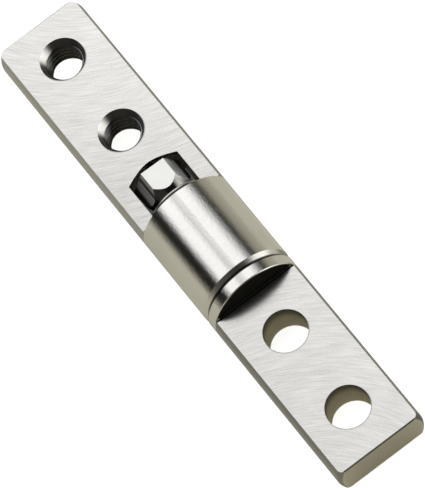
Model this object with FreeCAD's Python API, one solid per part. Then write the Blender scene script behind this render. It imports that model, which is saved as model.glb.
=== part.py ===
import FreeCAD, Part
import math
import os

# In-line torque hinge turned from round bar. Millimetres. The hinge axis is X, with the origin on it
# at half the hinge's length. +X runs from the threaded fixed leaf to the moving leaf, +Z is up.

# Driving dimensions: bar and leaves
bar_diameter = 12.0
leaf_thickness = 4.8
fixed_end_rounding = 1.0
moving_end_rounding = 0.75
fixed_root_radius = 0.25
moving_root_radius = 0.2
upper_end_break = 0.15
lower_end_break = 0.4

# Driving dimensions: screw holes
hole_pitch = 12.25
fixed_end_margin = 5.8
moving_end_margin = 6.2
moving_hole_setback = 6.25
drill_tip_web = 1.3
thread_diameter = 5.0
countersink_diameter = 5.6
countersink_angle = 60.0
plain_hole_diameter = 5.4

# Driving dimensions: barrel
barrel_length = 12.75
bore_diameter = 8.5
barrel_chamfer_length = 0.6
barrel_chamfer_depth = 0.35
drill_point_angle = 118.0
keyway_width = 1.5
keyway_depth = 0.55
keyway_overrun = 0.5

# Driving dimensions: end disc and shaft
disc_thickness = 1.45
disc_edge_break = 0.1
journal_diameter = 5.0
shaft_diameter = 4.0
shaft_across_flats = 3.2
shaft_thread_diameter = 3.0
shaft_tip_recess = 0.2
shaft_tip_chamfer = 0.3

# Driving dimensions: friction pack
thrust_washer_thickness = 0.35
thrust_washer_inset = 0.7
bush_length = 2.0
stator_count = 5
rotor_count = 4
friction_plate_thickness = 0.7
pressure_plate_thickness = 0.8
spring_count = 4
spring_thickness = 0.85
spring_cone_height = 0.35
end_washer_thickness = 0.3
nut_across_flats = 5.5
nut_length = 4.85
nut_nose_angle = 25.0
nut_nose_length = 2.3
nut_turn = 2.0

# Named clearances, each on the radius or on one side
bearing_clearance = 0.05
bond_clearance = 0.01
bore_clearance = 0.25
shaft_clearance = 0.25
key_clearance = 0.05
flat_clearance = 0.05
spring_bore_clearance = 0.1
thread_clearance = 0.03
drill_point_clearance = 0.4

# Radii worked out from the driving dimensions
bar_radius = bar_diameter / 2
half_leaf = leaf_thickness / 2
bore_radius = bore_diameter / 2
keyway_radius = bore_radius + keyway_depth
journal_radius = journal_diameter / 2
shaft_radius = shaft_diameter / 2
shaft_half_flats = shaft_across_flats / 2
shaft_thread_radius = shaft_thread_diameter / 2
countersink_radius = countersink_diameter / 2
plain_hole_radius = plain_hole_diameter / 2
pack_radius = bore_radius - bore_clearance
nut_corner_radius = nut_across_flats / 2 / math.cos(math.radians(30))

# Lengths worked out from the driving dimensions: the friction pack, then how far the nut, the drilled
# bore and its point reach past the barrel into the fixed leaf. The point stays clear of the nut's corners.
plate_pack_length = (stator_count + rotor_count) * friction_plate_thickness
spring_pitch = spring_thickness + spring_cone_height
pack_length = plate_pack_length + pressure_plate_thickness + spring_count * spring_pitch
nut_seat_reach = bush_length + pack_length + end_washer_thickness - barrel_length
nut_end_reach = nut_seat_reach + nut_length
drill_point_slope = 1 / math.tan(math.radians(drill_point_angle / 2))
nut_corner_room = (bore_radius - nut_corner_radius) * drill_point_slope
bore_end_reach = nut_end_reach + drill_point_clearance - nut_corner_room
bore_tip_reach = bore_end_reach + bore_radius * drill_point_slope
fixed_hole_setback = bore_tip_reach + drill_tip_web + countersink_radius
fixed_leaf_length = fixed_hole_setback + hole_pitch + fixed_end_margin
moving_leaf_length = moving_hole_setback + hole_pitch + moving_end_margin
middle_length = barrel_length + thrust_washer_thickness + disc_thickness
full_length = fixed_leaf_length + middle_length + moving_leaf_length

# Stations along X, from the fixed leaf's end to the moving leaf's end
fixed_end_x = -full_length / 2
shoulder_x = fixed_end_x + fixed_leaf_length
mouth_x = shoulder_x + barrel_length
disc_back_x = mouth_x + thrust_washer_thickness
disc_front_x = disc_back_x + disc_thickness
moving_end_x = disc_front_x + moving_leaf_length

# Stations of the bore, the shaft and the friction pack
bush_inner_x = mouth_x - bush_length
plate_pack_x = bush_inner_x - plate_pack_length
pressure_plate_x = plate_pack_x - pressure_plate_thickness
spring_pack_x = pressure_plate_x - spring_count * spring_pitch
nut_seat_x = shoulder_x - nut_seat_reach
nut_end_x = shoulder_x - nut_end_reach
shaft_tip_x = nut_end_x + shaft_tip_recess
bore_end_x = shoulder_x - bore_end_reach
bore_tip_x = shoulder_x - bore_tip_reach

# Tools that cut past a face reach this far beyond it
overshoot = 1.0

X_AXIS = FreeCAD.Vector(1, 0, 0)
Z_AXIS = FreeCAD.Vector(0, 0, 1)
ORIGIN = FreeCAD.Vector(0, 0, 0)


def point(x, y, z):
    """A point in the hinge's frame."""
    return FreeCAD.Vector(x, y, z)


def turned(outline):
    """A solid turned about the X axis from (x, radius) points."""
    points = [point(x, 0, radius) for x, radius in outline]
    face = Part.Face(Part.makePolygon(points + points[:1]))
    return face.revolve(ORIGIN, X_AXIS, 360)


def rod(start_x, end_x, radius):
    """A cylinder on the X axis from one station to another."""
    return Part.makeCylinder(radius, end_x - start_x, point(start_x, 0, 0), X_AXIS)


def block(start_x, end_x, half_width, low_z, high_z):
    """A box centred across the X axis, between two stations and two heights."""
    corner = point(start_x, -half_width, low_z)
    return Part.makeBox(end_x - start_x, 2 * half_width, high_z - low_z, corner)


def ring(start_x, end_x, inner_radius, outer_radius):
    """A flat washer on the X axis."""
    bore = rod(start_x - overshoot, end_x + overshoot, inner_radius)
    return rod(start_x, end_x, outer_radius).cut(bore)


def milled_waste(end_x, root_x, root_radius):
    """What the mill takes off one side of a leaf: from its end to a rounded root at the barrel or disc."""
    towards_end = math.copysign(1.0, end_x - root_x)
    centre_x = root_x + towards_end * root_radius
    top_z = bar_radius + overshoot
    outer_x = end_x + towards_end * overshoot
    root_low = point(centre_x, 0, half_leaf)
    root_high = point(root_x, 0, half_leaf + root_radius)
    diagonal = root_radius * math.sqrt(0.5)
    root_mid = point(centre_x - towards_end * diagonal, 0, half_leaf + root_radius - diagonal)
    edges = [
        Part.Arc(root_low, root_mid, root_high).toShape(),
        Part.makeLine(root_high, point(root_x, 0, top_z)),
        Part.makeLine(point(root_x, 0, top_z), point(outer_x, 0, top_z)),
        Part.makeLine(point(outer_x, 0, top_z), point(outer_x, 0, half_leaf)),
        Part.makeLine(point(outer_x, 0, half_leaf), root_low),
    ]
    face = Part.Face(Part.Wire(edges))
    half_width = bar_radius + overshoot
    waste = face.extrude(point(0, 2 * half_width, 0))
    waste.translate(point(0, -half_width, 0))
    return waste


def rounded_end(bar, end_x, radius):
    """A turned bar with the rim of one end rounded."""
    rims = [
        edge for edge in bar.Edges
        if abs(edge.BoundBox.XMin - end_x) < 1e-6 and abs(edge.BoundBox.XMax - end_x) < 1e-6
    ]
    return bar.makeFillet(radius, rims)


def end_edge_waste(end_x, root_x, side, size):
    """What is filed off the upper (+1) or lower (-1) edge of a leaf's free end."""
    inwards = math.copysign(1.0, root_x - end_x)
    outer_x = end_x - inwards * overshoot
    inner_x = end_x + inwards * (size + overshoot)
    corners = [
        point(outer_x, -bar_radius, side * (half_leaf - size - overshoot)),
        point(outer_x, -bar_radius, side * (half_leaf + overshoot)),
        point(inner_x, -bar_radius, side * (half_leaf + overshoot)),
    ]
    face = Part.Face(Part.makePolygon(corners + corners[:1]))
    return face.extrude(point(0, bar_diameter, 0))


def milled_leaf(bar, end_x, root_x, end_rounding, root_radius):
    """A turned bar with its leaf end rounded at the rim, milled to two flats and filed at the end."""
    upper = milled_waste(end_x, root_x, root_radius)
    lower = upper.mirror(ORIGIN, Z_AXIS)
    filings = [
        end_edge_waste(end_x, root_x, 1, upper_end_break),
        end_edge_waste(end_x, root_x, -1, lower_end_break),
    ]
    return rounded_end(bar, end_x, end_rounding).cut([upper, lower] + filings)


def sunk_hole(x):
    """A tool for a hole to be tapped, sunk from above."""
    radius = thread_diameter / 2
    slope = math.tan(math.radians(countersink_angle / 2))
    depth = (countersink_radius - radius) / slope
    top = half_leaf + overshoot
    outline = [
        (0, -top),
        (radius, -top),
        (radius, half_leaf - depth),
        (countersink_radius + overshoot * slope, top),
        (0, top),
    ]
    points = [point(x + reach, 0, z) for reach, z in outline]
    face = Part.Face(Part.makePolygon(points + points[:1]))
    return face.revolve(point(x, 0, 0), Z_AXIS, 360)


def plain_hole(x):
    """A tool for a plain hole through a leaf."""
    top = half_leaf + overshoot
    return Part.makeCylinder(plain_hole_radius, 2 * top, point(x, 0, -top), Z_AXIS)


def fixed_leaf():
    """The threaded leaf and its barrel, one piece: turned, drilled from the mouth, then milled flat."""
    bar = turned([
        (fixed_end_x, 0),
        (fixed_end_x, bar_radius),
        (mouth_x - barrel_chamfer_length, bar_radius),
        (mouth_x, bar_radius - barrel_chamfer_depth),
        (mouth_x, 0),
    ])
    body = milled_leaf(bar, fixed_end_x, shoulder_x, fixed_end_rounding, fixed_root_radius)
    bore = turned([
        (bore_tip_x, 0),
        (bore_end_x, bore_radius),
        (mouth_x + overshoot, bore_radius),
        (mouth_x + overshoot, 0),
    ])
    keyway_end_x = plate_pack_x - keyway_overrun
    half_key = keyway_width / 2
    keyway = block(keyway_end_x, mouth_x + overshoot, keyway_radius, -half_key, half_key)
    near_hole_x = shoulder_x - fixed_hole_setback
    holes = [sunk_hole(near_hole_x - step * hole_pitch) for step in range(2)]
    return body.cut([bore, keyway] + holes)


def moving_leaf():
    """The plain-hole leaf, its end disc and the shaft, one piece turned from the same bar."""
    bar = turned([
        (shaft_tip_x, 0),
        (shaft_tip_x, shaft_thread_radius - shaft_tip_chamfer),
        (shaft_tip_x + shaft_tip_chamfer, shaft_thread_radius),
        (nut_seat_x, shaft_thread_radius),
        (nut_seat_x, shaft_radius),
        (bush_inner_x, shaft_radius),
        (bush_inner_x, journal_radius),
        (disc_back_x, journal_radius),
        (disc_back_x, bar_radius),
        (moving_end_x, bar_radius),
        (moving_end_x, 0),
    ])
    body = milled_leaf(bar, moving_end_x, disc_front_x, moving_end_rounding, moving_root_radius)
    key_flats = [
        block(nut_seat_x, bush_inner_x, shaft_diameter, shaft_half_flats, shaft_diameter),
        block(nut_seat_x, bush_inner_x, shaft_diameter, -shaft_diameter, -shaft_half_flats),
    ]
    near_hole_x = disc_front_x + moving_hole_setback
    holes = [plain_hole(near_hole_x + step * hole_pitch) for step in range(2)]
    return body.cut(key_flats + holes + [disc_rim_waste()])


def disc_rim_waste():
    """What breaks the end disc's front rim, above and below the leaf."""
    outer = bar_radius + overshoot
    rim = turned([
        (disc_front_x - disc_edge_break - overshoot, outer),
        (disc_front_x - disc_edge_break, bar_radius),
        (disc_front_x, bar_radius - disc_edge_break),
        (disc_front_x, outer),
    ])
    leaf_slab = block(disc_back_x - overshoot, disc_front_x + overshoot, outer, -half_leaf, half_leaf)
    return rim.cut(leaf_slab)


def double_d_hole(start_x, end_x):
    """A tool for the keyed hole that fits over the shaft's two flats."""
    radius = shaft_radius + flat_clearance
    half_flats = shaft_half_flats + flat_clearance
    return rod(start_x, end_x, radius).common(block(start_x, end_x, radius, -half_flats, half_flats))


def keyed_plate(start_x, thickness):
    """A round plate that turns with the shaft."""
    hole = double_d_hole(start_x - overshoot, start_x + thickness + overshoot)
    return rod(start_x, start_x + thickness, pack_radius).cut(hole)


def stator_plate(start_x):
    """A round plate with two tabs that hold it in the barrel's keyways."""
    end_x = start_x + friction_plate_thickness
    half_key = keyway_width / 2 - key_clearance
    tabs = block(start_x, end_x, keyway_radius - key_clearance, -half_key, half_key)
    hole = rod(start_x - overshoot, end_x + overshoot, shaft_radius + shaft_clearance)
    return rod(start_x, end_x, pack_radius).fuse(tabs).removeSplitter().cut(hole)


def disc_spring(start_x, opens_inwards):
    """A coned spring washer, its rim towards the plates or away from them."""
    inner_radius = shaft_radius + spring_bore_clearance
    rim_shift = 0 if opens_inwards else spring_cone_height
    hub_shift = spring_cone_height - rim_shift
    return turned([
        (start_x + hub_shift, inner_radius),
        (start_x + rim_shift, pack_radius),
        (start_x + rim_shift + spring_thickness, pack_radius),
        (start_x + hub_shift + spring_thickness, inner_radius),
    ])


def thrust_washer():
    """The thin washer that spaces the end disc from the barrel's mouth."""
    return ring(mouth_x, disc_back_x, journal_radius + shaft_clearance, bar_radius - thrust_washer_inset)


def mouth_bush():
    """The bearing bush bonded in the barrel's mouth, which the friction plates press against."""
    return ring(bush_inner_x, mouth_x, journal_radius + bearing_clearance, bore_radius - bond_clearance)


def end_washer():
    """The washer between the disc springs and the nut."""
    return ring(nut_seat_x, spring_pack_x, shaft_radius + flat_clearance, pack_radius)


def hex_nut():
    """The adjusting nut: a hexagon with a long coned nose towards the washer."""
    angles = [math.radians(60 * corner - nut_turn) for corner in range(7)]
    corners = [
        point(nut_end_x, nut_corner_radius * math.cos(angle), nut_corner_radius * math.sin(angle))
        for angle in angles
    ]
    hexagon = Part.Face(Part.makePolygon(corners)).extrude(point(nut_length, 0, 0))
    nose_radius = nut_corner_radius - nut_nose_length * math.tan(math.radians(nut_nose_angle))
    envelope = turned([
        (nut_end_x, 0),
        (nut_end_x, nut_corner_radius),
        (nut_seat_x - nut_nose_length, nut_corner_radius),
        (nut_seat_x, nose_radius),
        (nut_seat_x, 0),
    ])
    thread = rod(nut_end_x - overshoot, nut_seat_x + overshoot, shaft_thread_radius + thread_clearance)
    return hexagon.common(envelope).cut(thread)


def friction_pack():
    """The plates and springs, in order from the mouth bush to the end washer."""
    pieces = {}
    station = bush_inner_x
    for index in range(stator_count + rotor_count):
        station -= friction_plate_thickness
        number = index // 2 + 1
        if index % 2 == 0:
            pieces[f"stator_plate_{number}"] = stator_plate(station)
        else:
            pieces[f"rotor_plate_{number}"] = keyed_plate(station, friction_plate_thickness)
    pieces["pressure_plate"] = keyed_plate(pressure_plate_x, pressure_plate_thickness)
    for index in range(spring_count):
        station = pressure_plate_x - (index + 1) * spring_pitch
        pieces[f"disc_spring_{index + 1}"] = disc_spring(station, index % 2 == 0)
    return pieces


def main():
    """Builds every piece and writes one file for each."""
    pieces = {
        "fixed_leaf": fixed_leaf(),
        "moving_leaf": moving_leaf(),
        "thrust_washer": thrust_washer(),
        "mouth_bush": mouth_bush(),
        "end_washer": end_washer(),
        "hex_nut": hex_nut(),
    }
    pieces.update(friction_pack())
    os.makedirs("parts", exist_ok=True)
    for name, shape in pieces.items():
        if not shape.isValid() or len(shape.Solids) != 1:
            raise ValueError(f"{name} is not one valid solid")
        shape.exportStep(f"parts/{name}.step")
        box = shape.BoundBox
        print(f"{name}: x {box.XMin:.2f} to {box.XMax:.2f}, volume {shape.Volume:.2f}")


main()
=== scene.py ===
import logging
import math
from dataclasses import dataclass
from enum import Enum
from functools import reduce
from typing import Any

import bmesh
import bpy
from mathutils import Matrix, Vector


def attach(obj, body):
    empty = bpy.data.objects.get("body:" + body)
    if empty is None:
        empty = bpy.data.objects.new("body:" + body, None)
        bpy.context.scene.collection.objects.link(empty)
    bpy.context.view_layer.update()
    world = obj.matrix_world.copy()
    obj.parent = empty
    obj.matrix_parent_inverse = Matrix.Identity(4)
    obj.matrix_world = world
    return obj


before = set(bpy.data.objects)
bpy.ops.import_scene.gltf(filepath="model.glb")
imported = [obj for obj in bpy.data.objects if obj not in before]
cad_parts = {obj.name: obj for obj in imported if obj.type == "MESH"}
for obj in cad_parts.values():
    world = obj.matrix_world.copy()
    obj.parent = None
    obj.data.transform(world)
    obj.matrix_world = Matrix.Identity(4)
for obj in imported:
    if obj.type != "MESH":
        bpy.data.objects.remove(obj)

LOG = logging.getLogger("torque_hinge")
MM = 0.001
METRES_TO_MM = 1000.0
GRAIN_CONTRAST = 0.10
SMALL_CLOUDS = 1.6
WHITE = (1.0, 1.0, 1.0, 1.0)
MIDDLE = (-0.5, 0.5)

Colour = tuple[float, float, float]
Point = tuple[float, float, float]
Span = tuple[float, float]
Socket = bpy.types.NodeSocket


class Side(Enum):
    """The two halves of the hinge, named as their bodies are."""

    FIXED = "fixed_side"
    MOVING = "moving_side"


class Slot(Enum):
    """The finishes that the hinge's record names."""

    NICKEL = "nickel_steel"
    POLISHED = "polished_steel"
    SPRING = "spring_steel"
    HARDENED = "hardened_steel"
    BRONZE = "bronze"
    DARK = "dark_steel"


class Wiring:
    """Adds nodes to one node tree and joins them."""

    def __init__(self, tree: bpy.types.NodeTree) -> None:
        """Takes the tree to work in.

        Args:
            tree: A shader or geometry node tree.
        """
        self.tree = tree

    def add(self, kind: str, inputs: dict[Any, Any] | None = None, **settings: Any) -> bpy.types.Node:
        """Adds one node.

        Args:
            kind: The node's type name.
            inputs: Values or output sockets, by input name or number.
            settings: Properties of the node itself.

        Returns:
            The new node.
        """
        node = self.tree.nodes.new(kind)
        for name, value in settings.items():
            setattr(node, name, value)
        for key, value in (inputs or {}).items():
            self.put(node.inputs[key], value)
        return node

    def put(self, socket: Socket, value: Any) -> None:
        """Joins an output to an input, or sets the input's own value.

        Args:
            socket: The input.
            value: An output socket, or the value.
        """
        if isinstance(value, Socket):
            self.tree.links.new(value, socket)
        else:
            socket.default_value = value

    def group(self, tree: bpy.types.NodeTree, inputs: dict[str, Any]) -> Any:
        """Adds a shader group and gives its outputs, by name."""
        return self.add("ShaderNodeGroup", inputs, node_tree=tree).outputs

    def math(self, operation: str, *values: Any) -> Socket:
        """One sum on numbers.

        Args:
            operation: The Math node's operation.
            values: Up to three numbers or sockets.

        Returns:
            The result's socket.
        """
        inputs = dict(enumerate(values))
        return self.add("ShaderNodeMath", inputs, operation=operation).outputs[0]

    def vector(self, operation: str, *values: Any) -> Socket:
        """One sum on vectors.

        Args:
            operation: The Vector Math node's operation, one that gives a vector.
            values: Vectors or sockets.

        Returns:
            The result's socket.
        """
        inputs = dict(enumerate(values))
        return self.add("ShaderNodeVectorMath", inputs, operation=operation).outputs[0]

    def dot(self, first: Any, second: Any) -> Socket:
        """The dot product of two vectors."""
        node = self.add("ShaderNodeVectorMath", {0: first, 1: second}, operation="DOT_PRODUCT")
        return node.outputs["Value"]

    def size(self, value: Any) -> Socket:
        """A number without its sign."""
        return self.math("ABSOLUTE", value)

    def rest(self, share: Any) -> Socket:
        """What a share leaves of one."""
        return self.math("SUBTRACT", 1.0, share)

    def most(self, *values: Any) -> Socket:
        """The largest of several numbers."""
        return reduce(lambda first, second: self.math("MAXIMUM", first, second), values)

    def reach(self, first: Any, second: Any) -> Socket:
        """The length of two steps at right angles."""
        squares = [self.math("MULTIPLY", step, step) for step in (first, second)]
        return self.math("SQRT", self.math("ADD", *squares))

    def split(self, vector: Any) -> list[Socket]:
        """A vector's three parts."""
        return list(self.add("ShaderNodeSeparateXYZ", {0: vector}).outputs)

    def join(self, x: Any, y: Any, z: Any) -> Socket:
        """A vector from its three parts."""
        return self.add("ShaderNodeCombineXYZ", {0: x, 1: y, 2: z}).outputs[0]

    def fade(self, value: Any, start: float, end: float,
             low: Any = 0.0, high: Any = 1.0) -> Socket:
        """A smooth step from one value to another.

        Args:
            value: What decides where on the step it is.
            start: Where the step starts.
            end: Where the step ends.
            low: The value before the step.
            high: The value after the step.

        Returns:
            The stepped value's socket.
        """
        inputs = {"Value": value, "From Min": start, "From Max": end, "To Min": low, "To Max": high}
        return self.add("ShaderNodeMapRange", inputs, interpolation_type="SMOOTHSTEP").outputs["Result"]

    def noise(self, position: Any, scale: Any, detail: float = 2.0) -> Socket:
        """Even noise about one half.

        Args:
            position: Where to read it.
            scale: How fine it is, in repeats to the position's unit.
            detail: How many finer layers it has.

        Returns:
            The noise's socket, from 0 to 1.
        """
        inputs = {"Vector": position, "Scale": scale, "Detail": detail}
        return self.add("ShaderNodeTexNoise", inputs, normalize=True).outputs[0]

    def blend(self, share: Any, first: Any, second: Any) -> Socket:
        """A number between two others."""
        inputs = {"Factor": share, 2: first, 3: second}
        return self.add("ShaderNodeMix", inputs, data_type="FLOAT").outputs[0]

    def blend_colour(self, share: Any, first: Any, second: Any) -> Socket:
        """A colour between two others."""
        inputs = {"Factor": share, 6: first, 7: second}
        return self.add("ShaderNodeMix", inputs, data_type="RGBA").outputs[2]

    def scale(self, vector: Any, factor: Any) -> Socket:
        """A colour or a vector scaled by a number."""
        scaled = self.add("ShaderNodeVectorMath", {0: vector, "Scale": factor}, operation="SCALE")
        return scaled.outputs[0]

    def product(self, *factors: Any) -> Socket:
        """Several numbers multiplied together."""
        return reduce(lambda first, second: self.math("MULTIPLY", first, second), factors)

    def tone(self, noise: Any) -> Socket:
        """Noise from 0 to 1 as a tone about 1."""
        return self.math("MULTIPLY_ADD", self.math("SUBTRACT", noise, 0.5), 2.0, 1.0)

    def soften(self, tone: Any, contrast: float) -> Socket:
        """A tone about 1 with only a share of its contrast."""
        return self.math("MULTIPLY_ADD", self.math("SUBTRACT", tone, 1.0), contrast, 1.0)

    def grained(self, roughness: Any, grain: Any) -> Socket:
        """A roughness that varies a little with the plating's grain."""
        return self.math("MULTIPLY_ADD", self.math("SUBTRACT", grain, 0.5), GRAIN_CONTRAST, roughness)

    def place(self) -> Socket:
        """The place on the part, in millimetres."""
        return self.scale(self.add("ShaderNodeTexCoord").outputs["Object"], METRES_TO_MM)

    def facing(self) -> list[Socket]:
        """The three parts of the way that the surface faces."""
        return self.split(self.add("ShaderNodeTexCoord").outputs["Normal"])

    def bump(self, shader: bpy.types.Node, relief: Any) -> None:
        """Gives a shader's surface its relief, in metres."""
        bump = self.add("ShaderNodeBump", {"Strength": 1.0, "Distance": 1.0, "Height": relief})
        self.put(shader.inputs["Normal"], bump.outputs[0])


class Effects:
    """The surface effects that several finishes share, each made once as a node group."""

    BAND_WIDTH = 0.22
    BAND_LENGTH = 0.5
    BAND_SHARE = 0.25
    SPECK_SHARE = 0.20
    SPECK_SCALE = 5.0
    GRAIN_SCALE = 24.0

    def __init__(self) -> None:
        """Builds every group."""
        self.strokes = self._milling_strokes()
        self.turning = self._turning_marks()
        self.mottle = self._plating_mottle()

    @staticmethod
    def _group(name: str, inputs: dict[str, float | None],
               outputs: list[str]) -> tuple[Any, Wiring, Any, Any]:
        """Makes an empty shader group with named sockets.

        Args:
            name: The group's name.
            inputs: Each input's default value, or None for a vector.
            outputs: The names of the number outputs.

        Returns:
            The group, its wiring, and its input and output nodes.
        """
        group = bpy.data.node_groups.new(name, "ShaderNodeTree")
        for socket, value in inputs.items():
            kind = "NodeSocketVector" if value is None else "NodeSocketFloat"
            made = group.interface.new_socket(socket, in_out="INPUT", socket_type=kind)
            if value is not None:
                made.default_value = value
        for socket in outputs:
            group.interface.new_socket(socket, in_out="OUTPUT", socket_type="NodeSocketFloat")
        wiring = Wiring(group)
        return group, wiring, wiring.add("NodeGroupInput"), wiring.add("NodeGroupOutput")

    def _milling_strokes(self) -> bpy.types.NodeTree:
        """Fine arcs round the milling cutter's centre, in millimetres.

        Returns:
            The group.
        """
        inputs = {"Position": None, "Cutter X": 0.0, "Cutter Y": 0.0,
                  "Stroke Width": 0.15, "Stroke Length": 3.0}
        group, w, start, end = self._group("milling_strokes", inputs, ["Tone", "Height"])
        x, y, z = w.split(start.outputs["Position"])
        across = w.math("SUBTRACT", x, start.outputs["Cutter X"])
        along = w.math("SUBTRACT", y, start.outputs["Cutter Y"])
        radius = w.reach(across, along)
        arc = w.math("MULTIPLY", w.math("ARCTAN2", along, across), radius)
        fine = w.math("DIVIDE", radius, start.outputs["Stroke Width"])
        long = w.math("DIVIDE", arc, start.outputs["Stroke Length"])
        side = w.math("SIGN", z)
        hair = w.noise(w.join(fine, long, side), 1.0, 3.0)
        wide = w.math("MULTIPLY", fine, self.BAND_WIDTH)
        bands = w.noise(w.join(wide, w.math("MULTIPLY", long, self.BAND_LENGTH), side), 1.0, 1.0)
        specks = w.noise(start.outputs["Position"], self.SPECK_SCALE)
        height = w.blend(self.SPECK_SHARE, w.blend(self.BAND_SHARE, hair, bands), specks)
        w.put(end.inputs["Height"], height)
        w.put(end.inputs["Tone"], w.tone(height))
        return group

    def _turning_marks(self) -> bpy.types.NodeTree:
        """Fine rings round the hinge's axis, broken up a little along each ring.

        Returns:
            The group.
        """
        inputs = {"Position": None, "Pitch": 0.12, "Streak": 0.6}
        group, w, start, end = self._group("turning_marks", inputs, ["Tone", "Height"])
        x, y, z = w.split(start.outputs["Position"])
        fine = w.math("DIVIDE", x, start.outputs["Pitch"])
        streak = start.outputs["Streak"]
        place = w.join(fine, w.math("DIVIDE", y, streak), w.math("DIVIDE", z, streak))
        height = w.noise(place, 1.0)
        w.put(end.inputs["Height"], height)
        w.put(end.inputs["Tone"], w.tone(height))
        return group

    def _plating_mottle(self) -> bpy.types.NodeTree:
        """Soft clouds in the plating, with a finer grain over them.

        Returns:
            The group.
        """
        inputs = {"Position": None, "Size": 4.0}
        group, w, start, end = self._group("plating_mottle", inputs, ["Tone", "Grain"])
        place = w.vector("DIVIDE", start.outputs["Position"], w.join(*[start.outputs["Size"]] * 3))
        w.put(end.inputs["Tone"], w.tone(w.noise(place, 1.0, 3.0)))
        w.put(end.inputs["Grain"], w.noise(place, self.GRAIN_SCALE))
        return group


@dataclass(frozen=True)
class LeafZones:
    """Sockets that are 1 in a zone of a leaf's surface, and the places that they come from."""

    place: Socket
    x: Socket
    y: Socket
    z: Socket
    from_axis: Socket
    past_root: Socket
    milled: Socket
    turned: Socket
    endwise: Socket
    outer: Socket
    chamfer: Socket
    in_hole: Socket


@dataclass(frozen=True)
class LeafShape:
    """Where a leaf's zones lie. Lengths in millimetres; each span is a soft edge."""

    root: float
    outwards: float
    joint: float
    holes: Span
    rim_radius: float
    sink_depth: float = 0.0
    flat_level: float = 2.4
    flat_start: Span = (2.37, 2.39)
    flat_end: Span = (2.41, 2.43)
    flat_facing: Span = (0.96, 0.995)
    end_facing: Span = (0.9, 0.98)
    tip: Span = (34.5, 34.6)
    fillet: Span = (0.30, 0.32)
    past_fillet: Span = (0.3, 0.4)
    root_line: Span = (0.26, 0.32)
    root_rise: Span = (2.38, 2.40)
    rim_start: Span = (5.55, 5.65)
    rim_end: Span = (5.97, 5.99)
    bore_wall: Span = (4.30, 4.45)
    bore_start: Span = (-12.9, -12.8)
    bore_end: Span = (8.4, 8.5)
    gap_start: Span = (8.45, 8.49)
    gap_end: Span = (8.9, 9.0)
    joint_line: Span = (0.05, 0.12)
    joint_wall: Span = (5.5, 5.6)

    def zones(self, w: Wiring) -> LeafZones:
        """Finds the zones of the leaf's surface.

        Args:
            w: The wiring of the leaf's material.

        Returns:
            The zones.
        """
        place = w.place()
        x, y, z = w.split(place)
        facing_x, _, facing_z = w.facing()
        height = w.size(z)
        milled = w.product(w.fade(height, *self.flat_start),
                           w.fade(w.size(facing_z), *self.flat_facing),
                           w.fade(height, *self.flat_end, 1.0, 0.0))
        from_axis = w.reach(y, z)
        past_root = w.math("MULTIPLY", w.math("SUBTRACT", x, self.root), self.outwards)
        at_end = w.most(w.fade(w.size(x), *self.tip),
                        w.fade(w.size(past_root), *self.fillet, 1.0, 0.0))
        endwise = w.product(w.fade(w.size(facing_x), *self.end_facing), at_end)
        turned = w.product(w.fade(from_axis, *self.rim_start), w.rest(w.most(milled, endwise)))
        chamfer = w.product(turned, w.fade(from_axis, *self.rim_end, 1.0, 0.0))
        outer = w.most(turned, milled, endwise)
        in_hole = w.product(w.rest(outer), w.fade(past_root, *self.past_fillet))
        return LeafZones(place, x, y, z, from_axis, past_root, milled, turned, endwise, outer,
                         chamfer, in_hole)

    def painted_recess_shade(self, w: Wiring, zones: LeafZones) -> Socket:
        """Marks the bore, the gap at the joint and a thin line round the joint, where shade is painted dark.

        Args:
            w: The wiring of the leaf's material.
            zones: The leaf's zones.

        Returns:
            The marked zone's socket.
        """
        in_bore = w.product(w.fade(zones.from_axis, *self.bore_wall, 1.0, 0.0),
                            w.fade(zones.x, *self.bore_start),
                            w.fade(zones.x, *self.bore_end, 1.0, 0.0),
                            w.rest(zones.milled))
        in_gap = w.product(w.fade(zones.x, *self.gap_start),
                           w.fade(zones.from_axis, *self.rim_start, 1.0, 0.0),
                           w.fade(zones.x, *self.gap_end, 1.0, 0.0))
        from_joint = w.size(w.math("SUBTRACT", zones.x, self.joint))
        at_joint = w.product(w.fade(from_joint, *self.joint_line, 1.0, 0.0),
                             w.fade(zones.from_axis, *self.joint_wall))
        return w.most(in_bore, in_gap, at_joint)

    def at_root(self, w: Wiring, zones: LeafZones) -> Socket:
        """Marks the upright face where the leaf begins, with its fillet.

        Args:
            w: The wiring of the leaf's material.
            zones: The leaf's zones.

        Returns:
            The marked zone's socket.
        """
        return w.product(w.fade(w.size(zones.past_root), *self.root_line, 1.0, 0.0),
                         w.rest(zones.turned),
                         w.fade(w.size(zones.z), *self.root_rise))

    def from_hole(self, w: Wiring, zones: LeafZones) -> Socket:
        """The way from the middle of the nearer hole, in the plane of the leaf.

        Args:
            w: The wiring of the leaf's material.
            zones: The leaf's zones.

        Returns:
            The vector's socket.
        """
        past_middle = w.math("GREATER_THAN", zones.x, sum(self.holes) / 2)
        hole_x = w.blend(past_middle, *self.holes)
        return w.join(w.math("SUBTRACT", zones.x, hole_x), zones.y, 0.0)


@dataclass(frozen=True)
class LeafTones:
    """How light each zone of a leaf is, as a share of its base colour. Apart from the plate's own tone and
    the texture contrasts, these tones are painted light and shade.
    """

    plate: float
    root_shade: float
    # painted shade on the leaf's turned sides, left and right
    left: float
    right: float
    # tone of the painted shade on the upright face at the root; the fillet gets a share of it
    face: float
    # tone of the painted shade in the bore, the gap and the joint line
    bore: float = 0.2
    # tone of the painted shade line round the hole rims
    rim: float = 0.5
    fillet: float = 0.2
    # tone of the painted shade at the chamfer's +y end
    chamfer_end: float = 0.55
    # painted shade in the holes, and in the countersinks a painted highlight
    hole_low: float = 0.95
    hole_high: float = 0.28
    sink: float = 0.40
    sink_far: float = 0.35
    sink_lit: float = 1.4
    # painted light and shade: how much the plate brightens across the leaf per millimetre
    across: float = 0.005
    stroke_contrast: float = 0.44
    cloud_contrast: float = 0.06


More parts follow.
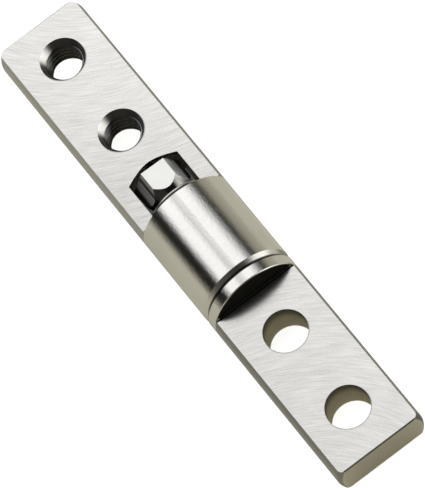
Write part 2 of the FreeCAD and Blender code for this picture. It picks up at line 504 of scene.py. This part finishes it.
@dataclass(frozen=True)
class LeafSteel:
    """Nickel-plated steel of a leaf: milled flats, polished where it is turned, plain in its holes."""

    shape: LeafShape
    tones: LeafTones
    cutter: Span
    hole_base: Colour
    hole_roughness: float
    base: Colour = (0.80, 0.785, 0.745)
    end_base: Colour = (0.60, 0.57, 0.47)
    # where the countersink's painted highlight and lighter far side lie
    patch_way: Point = (-0.82, -0.57, 0.0)
    patch_spread: Span = (0.84, 0.96)
    far_spread: Span = (-0.97, -0.80)
    # where the painted shade line round each hole's rim lies
    painted_rim_shade_way: Point = (1.0, 0.0, 0.0)
    painted_rim_shade_spread: Span = (-0.1, 0.4)
    painted_rim_shade_width: Span = (0.06, 0.14)
    shaded_reach: Span = (0.0, 22.0)
    beside_leaf: Span = (0.0, 0.1)
    fillet_rise: Span = (2.52, 2.65)
    sink_edge: float = 0.1
    chamfer_dimmed: Span = (4.7, 5.4)
    hole_span: Span = (0.0, 2.1)
    milled_roughness: float = 0.24
    turned_roughness: float = 0.15
    chamfer_roughness: float = 0.30
    end_roughness: float = 0.30
    wave_scale: float = 2.4
    wave_depth: float = 0.008
    grit_scale: float = 5.0
    grit_depth: float = 0.0095
    stroke_depth: float = 0.0022
    ring_depth: float = 0.0020
    hole_depth: float = 0.0006
    sink_flare: float = 0.31

    def make(self, name: str, effects: Effects) -> bpy.types.Material:
        """Builds the material.

        Args:
            name: The material's name.
            effects: The shared surface effects.

        Returns:
            The new material.
        """
        material, w, shader = new_metal(name)
        zones = self.shape.zones(w)
        cutter = {"Cutter X": self.cutter[0], "Cutter Y": self.cutter[1]}
        strokes = w.group(effects.strokes, {"Position": zones.place, **cutter})
        turning = w.group(effects.turning, {"Position": zones.place})
        mottle = w.group(effects.mottle, {"Position": zones.place})
        stroke_tone = w.blend(zones.milled, 1.0, strokes["Tone"])
        tone = w.product(w.soften(stroke_tone, self.tones.stroke_contrast),
                         w.soften(mottle["Tone"], self.tones.cloud_contrast),
                         self._tone(w, zones))
        w.put(shader.inputs["Base Color"], w.scale(self._colour(w, zones), tone))
        w.put(shader.inputs["Roughness"], self._roughness(w, zones, mottle["Grain"]))
        w.bump(shader, self._relief(w, zones, strokes["Height"], turning["Height"], mottle["Grain"]))
        return material

    def _colour(self, w: Wiring, zones: LeafZones) -> Socket:
        """The base colour: paler outside, olive in the holes and darker olive on the ends.

        Args:
            w: The material's wiring.
            zones: The leaf's zones.

        Returns:
            The colour's socket.
        """
        colour = w.blend_colour(zones.outer, (*self.hole_base, 1.0), (*self.base, 1.0))
        return w.blend_colour(zones.endwise, colour, (*self.end_base, 1.0))

    def _roughness(self, w: Wiring, zones: LeafZones, grain: Socket) -> Socket:
        """How rough each zone is, with a little grain.

        Args:
            w: The material's wiring.
            zones: The leaf's zones.
            grain: The plating's grain.

        Returns:
            The roughness.
        """
        plain = w.blend(zones.endwise, self.hole_roughness, self.end_roughness)
        polished = w.blend(zones.chamfer, self.turned_roughness, self.chamfer_roughness)
        roughness = w.blend(zones.turned, plain, polished)
        roughness = w.blend(zones.milled, roughness, self.milled_roughness)
        return w.grained(roughness, grain)

    def _tone(self, w: Wiring, zones: LeafZones) -> Socket:
        """How light each zone is.

        Args:
            w: The material's wiring.
            zones: The leaf's zones.

        Returns:
            The tone.
        """
        tones = self.tones
        # painted shade: the turned sides beside the leaf get the left or right side's darker tone
        beside = w.product(w.fade(zones.past_root, *self.beside_leaf), zones.turned)
        side_tone = w.fade(zones.y, *MIDDLE, tones.left, tones.right)
        # painted shade: the chamfer darkens towards its +y end
        dimmed_end = w.fade(zones.y, *self.chamfer_dimmed, 0.0, tones.chamfer_end)
        tone = w.blend(beside, w.rest(w.product(zones.chamfer, dimmed_end)), side_tone)
        # painted shade on the milled plate: darker towards the root, and graded across the leaf
        at_root = tones.plate - tones.root_shade
        plate = w.fade(zones.past_root, *self.shaded_reach, at_root, tones.plate)
        plate = w.math("MULTIPLY_ADD", zones.y, tones.across, plate)
        from_hole = self.shape.from_hole(w, zones)
        around = w.vector("NORMALIZE", from_hole)
        off_middle = w.math("SQRT", w.dot(from_hole, from_hole))
        off_rim = w.math("SUBTRACT", off_middle, self.shape.rim_radius)
        # painted shade: a thin dark line round the +x side of each hole's rim
        painted_rim_shade = w.product(w.fade(off_rim, *self.painted_rim_shade_width, 1.0, 0.0), zones.milled,
                         w.fade(w.dot(around, self.painted_rim_shade_way), *self.painted_rim_shade_spread))
        tone = w.blend(zones.milled, tone, w.product(plate, w.blend(painted_rim_shade, 1.0, tones.rim)))
        tone = w.blend(zones.in_hole, tone, self._hole_tone(w, zones, around))
        # painted shade: the upright face at the root is darkened, and its fillet darker still
        face = w.fade(w.size(zones.z), *self.fillet_rise, tones.face * tones.fillet, tones.face)
        tone = w.blend(self.shape.at_root(w, zones), tone, face)
        # painted shade: the bore, the gap and the joint line are darkened to the bore tone
        return w.blend(self.shape.painted_recess_shade(w, zones), tone, tones.bore)

    def _hole_tone(self, w: Wiring, zones: LeafZones, around: Socket) -> Socket:
        """How light the holes' walls are, as painted shade: darker upwards, or with a painted highlight on
        one side where they are sunk.

        Args:
            w: The material's wiring.
            zones: The leaf's zones.
            around: The way out from the hole's middle, of length 1.

        Returns:
            The tone.
        """
        tones = self.tones
        if not self.shape.sink_depth:
            return w.fade(zones.z, *self.hole_span, tones.hole_low, tones.hole_high)
        start = self.shape.flat_level - self.shape.sink_depth
        sunk = w.fade(zones.z, start - self.sink_edge, start)
        along = w.dot(around, self.patch_way)
        far = w.product(w.fade(along, *self.far_spread, 1.0, 0.0), sunk)
        # painted highlight on one side of the countersink, painted shade elsewhere in it
        lit = w.product(w.fade(along, *self.patch_spread), sunk, zones.in_hole)
        return w.blend(lit, w.math("MULTIPLY_ADD", far, tones.sink_far, tones.sink), tones.sink_lit)

    def _relief(self, w: Wiring, zones: LeafZones, strokes: Socket, rings: Socket,
                grain: Socket) -> Socket:
        """The fine relief of each zone, in metres.

        Args:
            w: The material's wiring.
            zones: The leaf's zones.
            strokes: The height of the milling strokes.
            rings: The height of the turning marks.
            grain: The plating's grain.

        Returns:
            The relief.
        """
        marks = w.blend(zones.turned, grain, w.blend(0.5, rings, grain))
        height = w.blend(zones.milled, marks, strokes)
        depth = w.blend(zones.turned, self.hole_depth, self.ring_depth)
        depth = w.blend(zones.milled, depth, self.stroke_depth)
        waves = w.math("MULTIPLY", w.noise(zones.place, self.wave_scale, 1.0), self.wave_depth)
        grit = w.math("MULTIPLY", w.noise(zones.place, self.grit_scale), self.grit_depth)
        base = w.product(w.math("ADD", waves, grit), zones.turned)
        up_sink = w.math("SUBTRACT", zones.z, self.shape.flat_level - self.shape.sink_depth)
        flare = w.product(zones.in_hole, w.math("MAXIMUM", up_sink, 0.0), self.sink_flare)
        relief = w.math("MULTIPLY_ADD", height, depth, w.math("SUBTRACT", base, flare))
        return w.product(relief, MM)


@dataclass(frozen=True)
class PlainMetal:
    """A metal of one finish all over, with turning marks, a little mottling and, if asked, painted shade
    past a place along the axis.
    """

    base: Colour
    roughness: float
    mark_depth: float = 0.0006
    mottling: float = 0.06
    shaded_from: float = 100.0
    shaded_tone: float = 0.12
    edge: float = 0.03

    def make(self, name: str, effects: Effects) -> bpy.types.Material:
        """Builds the material.

        Args:
            name: The material's name.
            effects: The shared surface effects.

        Returns:
            The new material.
        """
        material, w, shader = new_metal(name)
        place = w.place()
        turning = w.group(effects.turning, {"Position": place})
        mottle = w.group(effects.mottle, {"Position": place, "Size": SMALL_CLOUDS})
        cloud = w.soften(mottle["Tone"], self.mottling)
        x, _, _ = w.split(place)
        # painted shade past the given place along the axis
        shade = w.fade(x, self.shaded_from - self.edge, self.shaded_from + self.edge, 1.0, self.shaded_tone)
        w.put(shader.inputs["Base Color"], w.scale(self.base, w.math("MULTIPLY", cloud, shade)))
        w.put(shader.inputs["Roughness"], w.grained(self.roughness, mottle["Grain"]))
        w.bump(shader, w.math("MULTIPLY", turning["Height"], self.mark_depth * MM))
        return material


@dataclass(frozen=True)
class NutSteel:
    """Polished steel of the nut: streaked and clouded at its sides, mirror-bright on top and on its cone,
    with painted light and shade on its facets and cone.
    """

    base: Colour = (0.75, 0.74, 0.705)
    # paler base of the side facets, painted light standing in for light they pick up
    side_base: Colour = (0.90, 0.89, 0.85)
    flat_roughness: float = 0.22
    side_roughness: float = 0.50
    cone_roughness: float = 0.16
    side_metal: float = 0.5
    # painted shade of the left facet, its band and the cone
    left_tone: float = 0.62
    cone_tone: float = 0.42
    shaded_edge: Span = (0.65, 1.05)
    shaded_tone: float = 0.08
    band_level: float = 2.1
    band_share: float = 0.2
    band_edge: Span = (0.12, 0.26)
    cone_facing: Span = (0.2, 0.3)
    patch_facing: Span = (0.36, 0.52)
    facet_facing: Span = (0.5, 0.7)
    streak_pitch: float = 0.22
    streak_length: float = 2.5
    streak_lean: float = 0.6
    streak_contrast: float = 0.9
    mottling: float = 0.05
    flat_depth: float = 0.0003
    cone_depth: float = 0.0016

    def make(self, name: str, effects: Effects) -> bpy.types.Material:
        """Builds the material.

        Args:
            name: The material's name.
            effects: The shared surface effects.

        Returns:
            The new material.
        """
        material, w, shader = new_metal(name)
        place = w.place()
        x, y, z = w.split(place)
        facing_x, facing_y, _ = w.facing()
        cone = w.fade(facing_x, *self.cone_facing)
        patch = w.product(cone, w.fade(facing_y, *self.patch_facing))
        facet = w.product(w.fade(w.size(facing_y), *self.facet_facing), w.rest(cone))
        side = w.most(facet, patch)
        leaning = w.join(w.math("MULTIPLY_ADD", z, self.streak_lean, y), x, 0.0)
        drawn = w.group(effects.turning, {"Position": leaning, "Pitch": self.streak_pitch,
                                          "Streak": self.streak_length})
        mottle = w.group(effects.mottle, {"Position": place, "Size": SMALL_CLOUDS})
        lengthwise = w.math("SUBTRACT", drawn["Tone"], 1.0)
        streaks = w.math("MULTIPLY_ADD", w.product(lengthwise, side), self.streak_contrast, 1.0)
        # painted shade on the cone, with a painted highlight patch on one side
        coned = w.blend(cone, 1.0, w.blend(patch, self.cone_tone, 1.0))
        tone = w.product(streaks, w.blend(facet, 1.0, self._side_tone(w, y, z)), coned,
                         w.soften(mottle["Tone"], self.mottling))
        # painted light: the side facets take the paler base colour
        colour = w.blend_colour(side, (*self.base, 1.0), (*self.side_base, 1.0))
        w.put(shader.inputs["Base Color"], w.scale(colour, tone))
        polish = w.blend(cone, self.flat_roughness, self.cone_roughness)
        w.put(shader.inputs["Roughness"], w.blend(side, polish, self.side_roughness))
        w.put(shader.inputs["Metallic"], w.blend(side, 1.0, self.side_metal))
        depth = w.blend(cone, self.flat_depth, self.cone_depth)
        w.bump(shader, w.product(drawn["Height"], depth, MM))
        return material

    def _side_tone(self, w: Wiring, y: Socket, z: Socket) -> Socket:
        """How light the side facets are, as painted shade: darker low down, and the left one also overall
        and in a band that is a painted dark reflection.

        Args:
            w: The material's wiring.
            y: The place across the hinge, in millimetres.
            z: The height, in millimetres.

        Returns:
            The tone.
        """
        lit = w.fade(z, *self.shaded_edge, self.shaded_tone, 1.0)
        from_band = w.size(w.math("SUBTRACT", z, self.band_level))
        banded = w.fade(from_band, *self.band_edge, self.left_tone * self.band_share, self.left_tone)
        return w.product(w.blend(w.fade(y, *MIDDLE), banded, 1.0), lit)


def new_metal(name: str) -> tuple[bpy.types.Material, Wiring, bpy.types.Node]:
    """Starts a metal material.

    Args:
        name: The material's name.

    Returns:
        The material, the wiring of its tree, and its surface shader.
    """
    material = bpy.data.materials.new(name)
    material.use_nodes = True
    material.node_tree.nodes.clear()
    w = Wiring(material.node_tree)
    shader = w.add("ShaderNodeBsdfPrincipled", {"Metallic": 1.0})
    w.add("ShaderNodeOutputMaterial", {"Surface": shader.outputs[0]})
    return material, w, shader


def dress(node: str, material: bpy.types.Material) -> None:
    """Gives a node of the frame its material.

    Args:
        node: The node's name.
        material: The material.
    """
    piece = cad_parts[node]
    piece.data.materials.clear()
    piece.data.materials.append(material)
    LOG.info("%s: %s", node, material.name)


@dataclass
class TappedThreads:
    """The turns of the screw threads in the fixed leaf's two holes. Sizes in millimetres."""

    hole_stations: Span
    major_radius: float = 2.5
    minor_radius: float = 2.07
    pitch: float = 0.8
    half_leaf: float = 2.4
    sink_radius: float = 2.8
    sink_angle: float = 60.0
    exit_angle: float = 90.0
    embed: float = 0.03
    ridge: Span = (0.16, 0.92)
    spare_turns: float = 8.0
    weld: float = 1e-4
    lengths: tuple[str, ...] = ("Major Radius", "Minor Radius", "Pitch", "Top", "Bottom", "Sink Slope",
                                "Exit Slope", "Embed", "First Hole", "Hole Spacing")
    crease: float = 32.0
    steps_round: int = 96
    rows: int = 84

    def tree(self) -> bpy.types.NodeTree:
        """Makes the node tree that turns a grid into the thread's surface.

        Returns:
            The geometry node tree.
        """
        group = bpy.data.node_groups.new("tapped_threads", "GeometryNodeTree")
        self._sockets(group)
        w = Wiring(group)
        given = w.add("NodeGroupInput").outputs
        sheet = w.add("GeometryNodeMeshGrid", {"Size X": 1.0, "Size Y": 1.0})
        w.put(sheet.inputs["Vertices X"], given["Steps Round"])
        w.put(sheet.inputs["Vertices Y"], given["Rows"])
        bent = w.add("GeometryNodeSetPosition", {"Geometry": sheet.outputs["Mesh"]})
        w.put(bent.inputs["Position"], self._point(w, given))
        merged = w.add("GeometryNodeMergeByDistance", {"Geometry": bent.outputs[0], "Distance": self.weld})
        sized = w.add("GeometryNodeTransform", {"Geometry": merged.outputs[0], "Scale": (MM, MM, MM)})
        holes = w.add("GeometryNodeMeshLine", {"Count": 2})
        for socket, name in (("Start Location", "First Hole"), ("Offset", "Hole Spacing")):
            w.put(holes.inputs[socket], w.join(w.math("MULTIPLY", given[name], MM), 0.0, 0.0))
        placed = w.add("GeometryNodeInstanceOnPoints",
                       {"Points": holes.outputs["Mesh"], "Instance": sized.outputs[0]})
        solid = w.add("GeometryNodeRealizeInstances", {"Geometry": placed.outputs[0]})
        dressed = w.add("GeometryNodeSetMaterial", {"Geometry": solid.outputs[0]})
        w.put(dressed.inputs["Material"], given["Material"])
        w.add("NodeGroupOutput", {0: dressed.outputs[0]})
        return group

    def _sockets(self, group: bpy.types.NodeTree) -> None:
        """Names the tree's inputs and its output.

        Args:
            group: The geometry node tree.
        """
        kinds = {"Geometry": "NodeSocketGeometry"}
        kinds.update(dict.fromkeys(self.lengths, "NodeSocketFloat"))
        kinds.update({"Steps Round": "NodeSocketInt", "Rows": "NodeSocketInt"})
        kinds["Material"] = "NodeSocketMaterial"
        for name, kind in kinds.items():
            group.interface.new_socket(name, in_out="INPUT", socket_type=kind)
        group.interface.new_socket("Geometry", in_out="OUTPUT", socket_type="NodeSocketGeometry")

    def _point(self, w: Wiring, given: Any) -> Socket:
        """Where each point of the grid goes.

        The first and the last row close the shell at the bottom, the last but one at the top. The rows
        between run up the thread.

        Args:
            w: The tree's wiring.
            given: The tree's inputs, by name.

        Returns:
            The place, in millimetres.
        """
        top, low = given["Top"], given["Bottom"]
        across, along, _ = w.split(w.add("GeometryNodeInputPosition").outputs[0])
        last = w.math("SUBTRACT", given["Rows"], 1.0)
        row = w.math("MULTIPLY", w.math("ADD", along, 0.5), last)
        share = w.math("DIVIDE", w.math("SUBTRACT", row, 1.0), w.math("SUBTRACT", last, 3.0))
        past_top = w.math("GREATER_THAN", row, w.math("SUBTRACT", last, 1.5))
        closing = w.math("GREATER_THAN", row, w.math("SUBTRACT", last, 0.5))
        bottom = w.most(w.math("LESS_THAN", row, 0.5), closing)
        level = w.blend(bottom, w.blend(past_top, w.blend(share, low, top), top), low)
        turns = w.math("DIVIDE", level, given["Pitch"])
        phase = w.math("FRACT", w.math("ADD", turns, w.math("ADD", across, self.spare_turns)))
        ridge = w.size(w.math("MULTIPLY_ADD", phase, 2.0, -1.0))
        limits = {"Value": ridge, "From Min": self.ridge[0], "From Max": self.ridge[1]}
        profile = w.add("ShaderNodeMapRange", limits).outputs[0]
        thread = w.blend(profile, given["Minor Radius"], given["Major Radius"])
        buried = w.math("ADD", given["Major Radius"], given["Embed"])
        below = w.math("MULTIPLY", w.math("SUBTRACT", top, level), given["Sink Slope"])
        above = w.math("MULTIPLY", w.math("SUBTRACT", level, low), given["Exit Slope"])
        sink = w.math("SUBTRACT", buried, w.math("MINIMUM", below, above))
        inner = w.math("MINIMUM", w.most(thread, sink), buried)
        radius = w.blend(w.most(bottom, past_top), inner, buried)
        turn = w.math("MULTIPLY", across, 2 * math.pi)
        return w.join(w.math("MULTIPLY", radius, w.math("COSINE", turn)),
                      w.math("MULTIPLY", radius, w.math("SINE", turn)), level)

    def build(self, material: bpy.types.Material) -> None:
        """Makes the threads as one closed mesh on the fixed side.

        Args:
            material: The steel of the fixed leaf.
        """
        sink_slope = math.tan(math.radians(self.sink_angle / 2))
        buried_depth = (self.sink_radius - self.major_radius - self.embed) / sink_slope
        values = {
            "Major Radius": self.major_radius,
            "Minor Radius": self.minor_radius,
            "Pitch": self.pitch,
            "Top": self.half_leaf - buried_depth,
            "Bottom": -self.half_leaf,
            "Sink Slope": sink_slope,
            "Exit Slope": math.tan(math.radians(self.exit_angle / 2)),
            "Embed": self.embed,
            "First Hole": self.hole_stations[0],
            "Hole Spacing": self.hole_stations[1] - self.hole_stations[0],
            "Steps Round": self.steps_round,
            "Rows": self.rows,
            "Material": material,
        }
        piece = grown(self.tree(), values, "fixed_leaf_thread_turns", self.crease)
        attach(piece, Side.FIXED.value)
        LOG.info("%s: %d faces", piece.name, len(piece.data.polygons))


def grown(tree: bpy.types.NodeTree, values: dict[str, Any], name: str, crease: float) -> bpy.types.Object:
    """Runs a geometry node tree and keeps its result as a plain mesh.

    Args:
        tree: The node tree.
        values: Its inputs by name.
        name: The new piece's name.
        crease: Edges sharper than this many degrees stay sharp.

    Returns:
        The piece, a closed mesh at the origin.
    """
    seed = bpy.data.objects.new(name + "_seed", bpy.data.meshes.new(name + "_seed"))
    bpy.context.scene.collection.objects.link(seed)
    modifier = seed.modifiers.new("grow", "NODES")
    modifier.node_group = tree
    for item in tree.interface.items_tree:
        if item.in_out == "INPUT" and item.name in values:
            modifier[item.identifier] = values[item.name]
    depsgraph = bpy.context.evaluated_depsgraph_get()
    mesh = bpy.data.meshes.new_from_object(seed.evaluated_get(depsgraph))
    bpy.data.objects.remove(seed)
    shell = bmesh.new()
    shell.from_mesh(mesh)
    bmesh.ops.recalc_face_normals(shell, faces=shell.faces)
    shell.to_mesh(mesh)
    shell.free()
    mesh.name = name
    mesh.shade_smooth()
    mesh.set_sharp_from_angle(angle=math.radians(crease))
    piece = bpy.data.objects.new(name, mesh)
    bpy.context.scene.collection.objects.link(piece)
    return piece


@dataclass
class Leaves:
    """The two leaves, which carry the barrel and the end disc. Cutter centres in millimetres."""

    fixed_cutter: Span = (-47.0, 15.0)
    moving_cutter: Span = (43.0, -15.0)
    tapped_holes: Span = (-29.2, -16.95)
    plain_holes: Span = (16.55, 28.8)
    shoulder: float = -4.25
    mouth: float = 8.5
    disc_back: float = 8.85
    disc_front: float = 10.3

    def build(self, effects: Effects) -> None:
        """Dresses both leaves and cuts the fixed leaf's threads.

        Args:
            effects: The shared surface effects.
        """
        # the tones hold painted shade: darker sides, a dark root face and a plate darker towards the root
        fixed = LeafSteel(
            LeafShape(self.shoulder, -1.0, self.mouth, self.tapped_holes, rim_radius=2.8, sink_depth=1.2),
            LeafTones(plate=0.895, root_shade=0.085, left=0.60, right=0.26, face=0.6),
            self.fixed_cutter, hole_base=(0.61, 0.61, 0.60), hole_roughness=0.33)
        moving = LeafSteel(
            LeafShape(self.disc_front, 1.0, self.disc_back, self.plain_holes, rim_radius=2.7),
            LeafTones(plate=0.905, root_shade=0.02, left=0.33, right=0.18, face=0.22),
            self.moving_cutter, hole_base=(0.72, 0.68, 0.55), hole_roughness=0.55)
        fixed_steel = fixed.make("fixed_leaf_steel", effects)
        dress("fixed_leaf", fixed_steel)
        dress("moving_leaf", moving.make("moving_leaf_steel", effects))
        TappedThreads(self.tapped_holes).build(fixed_steel)


@dataclass
class FrictionPack:
    """The nut, washers, springs, plates and bush inside the barrel."""

    stators: int = 5
    rotors: int = 4
    springs: int = 4

    def build(self, effects: Effects) -> None:
        """Dresses every piece of the pack.

        Args:
            effects: The shared surface effects.
        """
        polished = NutSteel().make("polished_nut_steel", effects)
        # the end washer has painted shade on its side towards the barrel
        washer = PlainMetal((0.66, 0.66, 0.60), 0.32, shaded_from=-5.56).make("end_washer_steel", effects)
        spring = PlainMetal((0.42, 0.41, 0.40), 0.28).make("oiled_spring_steel", effects)
        hardened = PlainMetal((0.50, 0.49, 0.48), 0.30).make("ground_plate_steel", effects)
        bronze = PlainMetal((0.58, 0.38, 0.20), 0.32).make("bearing_bronze", effects)
        dark = PlainMetal((0.13, 0.13, 0.13), 0.40).make("blackened_washer_steel", effects)
        dress("hex_nut", polished)
        dress("end_washer", washer)
        dress("thrust_washer", dark)
        dress("mouth_bush", bronze)
        dress("pressure_plate", hardened)
        stacks = [("stator_plate", self.stators, bronze, Slot.BRONZE),
                  ("rotor_plate", self.rotors, hardened, Slot.HARDENED),
                  ("disc_spring", self.springs, spring, Slot.SPRING)]
        for name, count, material, slot in stacks:
            for number in range(1, count + 1):
                dress(f"{name}_{number}", material)


@dataclass
class Studio:
    """A pale table under soft light, and the camera. Lengths in metres, angles in degrees."""

    table_level: float = -0.006
    table_half: float = 1.5
    paper: Colour = (0.86, 0.83, 0.70)
    box_light: Colour = (1.34, 1.35, 1.38)
    side_light: Colour = (1.15, 1.15, 1.12)
    horizon: Colour = (0.48, 0.46, 0.385)
    box_left: Span = (-57.0, -36.0)
    box_right: Span = (20.0, 54.0)
    box_near: Span = (-0.6, 0.15)
    seam_angle: float = -7.0
    seam_half: float = 12.0
    seam_light: float = 0.62
    low_way: Point = (0.0, -0.19, 0.98)
    low_span: Span = (0.10, 0.46)
    ceiling_light: float = 0.02
    right_span: Span = (0.2, 0.7)
    right_rise: float = 0.3
    right_light: Span = (0.90, 0.72)
    side_way: Point = (0.45, 0.82, 0.35)
    side_cone: Span = (27.0, 13.0)
    front_way: Point = (0.74, 0.62, 0.20)
    front_cone: Span = (22.0, 10.0)
    back_way: Point = (0.56, -0.61, 0.56)
    back_cone: Span = (38.0, 18.0)
    back_light: float = 0.12
    shadow_floor: float = 0.84
    lamp_height: float = 0.6
    lamp_spread: float = 50.0
    lamp_power: float = 0.6
    # a painted shadow on the table under the barrel
    painted_shadow_centre: Point = (-0.0075, 0.0006, 0.0)
    painted_shadow_reach: Span = (0.0095, 0.0058)
    painted_shadow_core: float = 0.55
    painted_shadow_light: float = 0.08
    camera_place: Point = (0.276614, -0.053656, 0.550546)
    camera_look: Point = (-0.44606, 0.08693, -0.89077)
    camera_up: Point = (-0.69213, 0.59750, 0.40490)
    lens: float = 394.29
    sensor: float = 36.0
    sight: Span = (0.01, 50.0)

    def build(self) -> None:
        """Makes the table, the light and the camera."""
        self._table()
        self._light()
        self._table_light()
        self._camera()
        bpy.context.scene.view_settings.view_transform = "Standard"

    def _table(self) -> None:
        """A flat pale table that keeps the hinge's shadow, has a painted shadow under the barrel, and shows
        white to the camera.
        """
        size = self.table_half
        mesh = bpy.data.meshes.new("table")
        corners = [(-size, -size), (size, -size), (size, size), (-size, size)]
        mesh.from_pydata([(*corner, self.table_level) for corner in corners], [], [(0, 1, 2, 3)])
        table = bpy.data.objects.new("table", mesh)
        bpy.context.scene.collection.objects.link(table)
        material = bpy.data.materials.new("table_paper")
        material.use_nodes = True
        material.node_tree.nodes.clear()
        w = Wiring(material.node_tree)
        paper = w.add("ShaderNodeBsdfDiffuse", {"Color": (*self.paper, 1.0)})
        place = w.add("ShaderNodeTexCoord").outputs["Object"]
        # painted shadow: a soft dark patch under the barrel dims what the camera sees of the table
        x, y, _ = w.split(w.vector("SUBTRACT", place, self.painted_shadow_centre))
        along, across = self.painted_shadow_reach
        off_end = w.fade(w.size(x), along * self.painted_shadow_core, along)
        off_side = w.fade(w.size(y), across * self.painted_shadow_core, across)
        outside_painted_shadow = w.blend(w.most(off_end, off_side), self.painted_shadow_light, 1.0)
        lift = w.add("ShaderNodeEmission", {"Color": WHITE})
        w.put(lift.inputs["Strength"], w.math("MULTIPLY", outside_painted_shadow, self.shadow_floor))
        neutral = w.add("ShaderNodeBsdfDiffuse", {"Color": w.scale((0.8, 0.8, 0.8), outside_painted_shadow)})
        seen = w.add("ShaderNodeAddShader", {0: neutral.outputs[0], 1: lift.outputs[0]})
        clear = w.add("ShaderNodeBsdfTransparent")
        path = w.add("ShaderNodeLightPath")
        back = w.add("ShaderNodeNewGeometry").outputs["Backfacing"]
        seen_straight = path.outputs["Is Camera Ray"]
        shown = w.add("ShaderNodeMixShader", {0: seen_straight, 1: paper.outputs[0], 2: seen.outputs[0]})
        surface = w.add("ShaderNodeMixShader", {0: back, 1: shown.outputs[0], 2: clear.outputs[0]})
        w.add("ShaderNodeOutputMaterial", {"Surface": surface.outputs[0]})
        mesh.materials.append(material)

    def _light(self) -> None:
        """Soft lights above, beside and behind, over a pale horizon and a dark ceiling."""
        world = bpy.data.worlds.new("studio")
        bpy.context.scene.world = world
        world.use_nodes = True
        world.node_tree.nodes.clear()
        w = Wiring(world.node_tree)
        way = w.add("ShaderNodeTexCoord").outputs["Generated"]
        x, y, z = w.split(way)
        round_axis = w.math("MULTIPLY", w.math("ARCTAN2", y, z), 180 / math.pi)
        seam = w.size(w.math("SUBTRACT", round_axis, self.seam_angle))
        above = w.product(w.fade(round_axis, *self.box_left),
                          w.fade(round_axis, *self.box_right, 1.0, 0.0),
                          w.fade(seam, 0.0, self.seam_half, self.seam_light, 1.0),
                          w.fade(x, *self.box_near, 1.0, 0.0))
        low = w.fade(w.dot(way, self.low_way), *self.low_span, 1.0, self.ceiling_light)
        at_right = w.fade(z, 0.0, self.right_rise, *self.right_light)
        low = w.math("MULTIPLY", low, w.fade(y, *self.right_span, 1.0, at_right))
        low = w.math("ADD", low, self._lamp(w, way, self.back_way, self.back_cone, self.back_light))
        beside = w.most(self._lamp(w, way, self.side_way, self.side_cone),
                        self._lamp(w, way, self.front_way, self.front_cone))
        base = w.scale(self.horizon, low)
        top = w.scale(self.box_light, above)
        light = w.vector("ADD", w.vector("ADD", base, top), w.scale(self.side_light, beside))
        glow = w.add("ShaderNodeBackground", {"Color": light, "Strength": 1.0})
        white = w.add("ShaderNodeBackground", {"Color": WHITE, "Strength": 1.0})
        seen_straight = w.add("ShaderNodeLightPath").outputs["Is Camera Ray"]
        mixed = w.add("ShaderNodeMixShader", {0: seen_straight, 1: glow.outputs[0], 2: white.outputs[0]})
        w.add("ShaderNodeOutputWorld", {"Surface": mixed.outputs[0]})

    @staticmethod
    def _lamp(w: Wiring, way: Socket, towards: Point, cone: Span, light: float = 1.0) -> Socket:
        """A soft round light in the room.

        Args:
            w: The room's wiring.
            way: The way that is looked along.
            towards: Where the light stands.
            cone: The angles from its middle to its outer and inner edge, in degrees.
            light: How bright it is.

        Returns:
            The light's brightness along the way.
        """
        outer, inner = (math.cos(math.radians(angle)) for angle in cone)
        return w.fade(w.dot(way, towards), outer, inner, 0.0, light)

    def _table_light(self) -> None:
        """A large soft lamp overhead that lights the table and leaves the metal's reflections alone."""
        data = bpy.data.lights.new("table_light", "SUN")
        data.angle = math.radians(self.lamp_spread)
        data.energy = self.lamp_power
        lamp = bpy.data.objects.new("table_light", data)
        lamp.location = (0.0, 0.0, self.lamp_height)
        lamp.visible_glossy = False
        lamp.visible_camera = False
        bpy.context.scene.collection.objects.link(lamp)

    def _camera(self) -> None:
        """The camera where the photograph was taken from."""
        look = Vector(self.camera_look).normalized()
        right = look.cross(Vector(self.camera_up)).normalized()
        up = right.cross(look)
        data = bpy.data.cameras.new("camera")
        data.lens = self.lens
        data.sensor_width = self.sensor
        data.clip_start, data.clip_end = self.sight
        camera = bpy.data.objects.new("camera", data)
        turn = Matrix((right, up, -look)).transposed().to_4x4()
        camera.matrix_world = Matrix.Translation(Vector(self.camera_place)) @ turn
        bpy.context.scene.collection.objects.link(camera)
        bpy.context.scene.camera = camera


def main() -> None:
    """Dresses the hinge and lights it."""
    logging.basicConfig(level=logging.INFO, format="%(name)s %(message)s")
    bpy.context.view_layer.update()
    effects = Effects()
    Leaves().build(effects)
    FrictionPack().build(effects)
    Studio().build()


if __name__ == "__main__":
    main()
